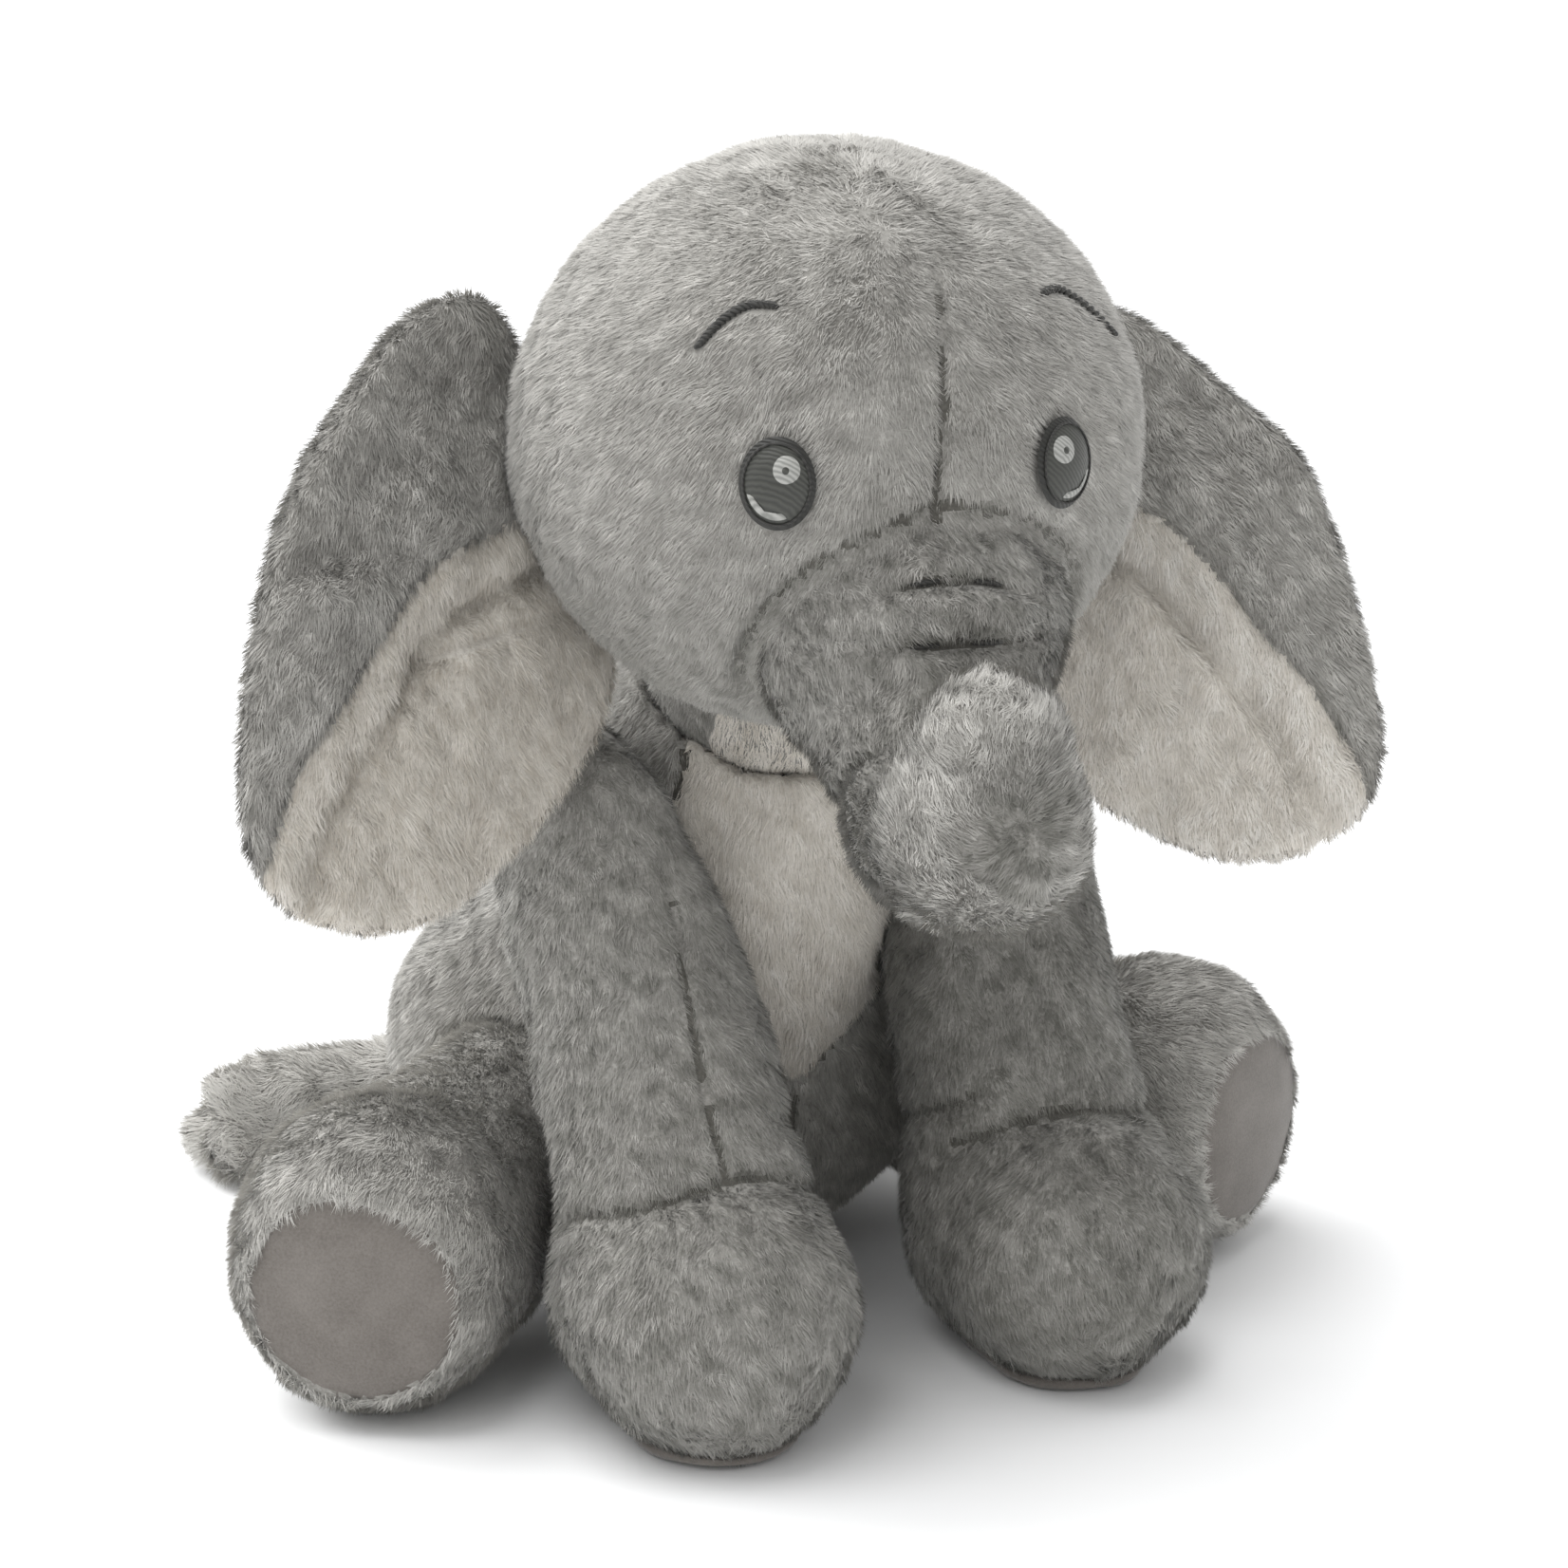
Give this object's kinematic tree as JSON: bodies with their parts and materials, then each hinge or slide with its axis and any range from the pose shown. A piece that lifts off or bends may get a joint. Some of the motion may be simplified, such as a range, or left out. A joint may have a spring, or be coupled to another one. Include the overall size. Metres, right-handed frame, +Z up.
{
  "type": "stuffed elephant",
  "caption": "Seated plush elephant with sewn fabric covers over stuffing, flexible neck, trunk, ears, legs and tail, and suede sole pads.",
  "frame": {"origin": "middle of the flat seat under the belly, on the floor", "axes": "+Z up, -Y the way the elephant faces, +X the elephant's left"},
  "size_m": [0.2979, 0.3075, 0.304],
  "materials": {
    "grey_plush": "short-pile grey plush fur, mottled",
    "cream_plush": "short-pile cream plush fur",
    "sole_suede": "smooth mauve-grey suede cloth",
    "polyester_fibre": "loose polyester fibre stuffing",
    "pouch_cloth": "plain cotton pouch filled with plastic pellets",
    "eye_satin": "dark satin patch with embroidered highlights",
    "dark_thread": "dark embroidery thread"
  },
  "bodies": {
    "torso": {"torso_panel_left": "grey_plush", "torso_panel_right": "grey_plush", "bib_panel": "cream_plush", "seat_gusset": "grey_plush", "torso_stuffing": "polyester_fibre", "pellet_pouch": "pouch_cloth"},
    "neck": {"neck_stuffing": "grey_plush"},
    "head": {"head_panel_left": "grey_plush", "head_panel_right": "grey_plush", "head_stuffing": "polyester_fibre", "eye_left": "eye_satin", "eye_right": "eye_satin", "brow_left": "dark_thread", "brow_right": "dark_thread"},
    "trunk": {"trunk_cover": "grey_plush", "trunk_stuffing": "polyester_fibre", "wrinkle_stitches": "dark_thread"},
    "ear_left": {"ear_back_left": "grey_plush", "ear_wadding_left": "polyester_fibre", "ear_lining_left": "cream_plush"},
    "front_leg_left": {"front_leg_outer_left": "grey_plush", "front_leg_inner_left": "grey_plush", "front_leg_stuffing_left": "polyester_fibre", "front_sole_left": "sole_suede"},
    "hind_leg_left": {"hind_leg_cover_left": "grey_plush", "hind_leg_stuffing_left": "polyester_fibre", "hind_sole_left": "sole_suede"},
    "ear_right": {"ear_back_right": "grey_plush", "ear_wadding_right": "polyester_fibre", "ear_lining_right": "cream_plush"},
    "front_leg_right": {"front_leg_outer_right": "grey_plush", "front_leg_inner_right": "grey_plush", "front_leg_stuffing_right": "polyester_fibre", "front_sole_right": "sole_suede"},
    "hind_leg_right": {"hind_leg_cover_right": "grey_plush", "hind_leg_stuffing_right": "polyester_fibre", "hind_sole_right": "sole_suede"},
    "tail": {"tail_cover": "grey_plush", "tail_stuffing": "polyester_fibre"}
  },
  "joints": [
    {"name": "head_turn", "type": "hinge", "parent": "torso", "child": "neck", "pos_m": [0, -0.057, 0.173], "axis": [0, 0, 1], "range_deg": [-10, 10], "stiffness_Nm_per_rad": 2},
    {"name": "head_nod", "type": "hinge", "parent": "neck", "child": "head", "pos_m": [0, -0.057, 0.173], "axis": [-0.9962, 0.0872, 0], "range_deg": [-5, 12], "stiffness_Nm_per_rad": 3},
    {"name": "trunk_swing", "type": "hinge", "parent": "head", "child": "trunk", "pos_m": [-0.00723, -0.13968, 0.2], "axis": [-0.9962, 0.0872, 0], "range_deg": [-20, 15], "stiffness_Nm_per_rad": 0.4},
    {"name": "ear_flap_left", "type": "hinge", "parent": "head", "child": "ear_left", "pos_m": [0.07727, -0.06878, 0.235], "axis": [-0.1553, -0.3047, -0.9397], "range_deg": [-10, 35], "stiffness_Nm_per_rad": 0.05},
    {"name": "ear_flap_right", "type": "hinge", "parent": "head", "child": "ear_right", "pos_m": [-0.07814, -0.05518, 0.235], "axis": [-0.1, 0.3271, 0.9397], "range_deg": [-10, 35], "stiffness_Nm_per_rad": 0.05},
    {"name": "front_leg_lift_left", "type": "hinge", "parent": "torso", "child": "front_leg_left", "pos_m": [0.048, -0.062, 0.132], "axis": [-1, 0, 0], "range_deg": [0, 30], "stiffness_Nm_per_rad": 2},
    {"name": "front_leg_lift_right", "type": "hinge", "parent": "torso", "child": "front_leg_right", "pos_m": [-0.048, -0.062, 0.132], "axis": [-1, 0, 0], "range_deg": [0, 30], "stiffness_Nm_per_rad": 2},
    {"name": "hind_leg_spread_left", "type": "hinge", "parent": "torso", "child": "hind_leg_left", "pos_m": [0.06, -0.024, 0.042], "axis": [0, 0, 1], "range_deg": [0, 18], "stiffness_Nm_per_rad": 1.5},
    {"name": "hind_leg_spread_right", "type": "hinge", "parent": "torso", "child": "hind_leg_right", "pos_m": [-0.06, -0.024, 0.042], "axis": [0, 0, -1], "range_deg": [0, 18], "stiffness_Nm_per_rad": 1.5},
    {"name": "tail_wag", "type": "hinge", "parent": "torso", "child": "tail", "pos_m": [-0.012, 0.066, 0.034], "axis": [0, 0, -1], "range_deg": [0, 70], "stiffness_Nm_per_rad": 0.1}
  ]
}
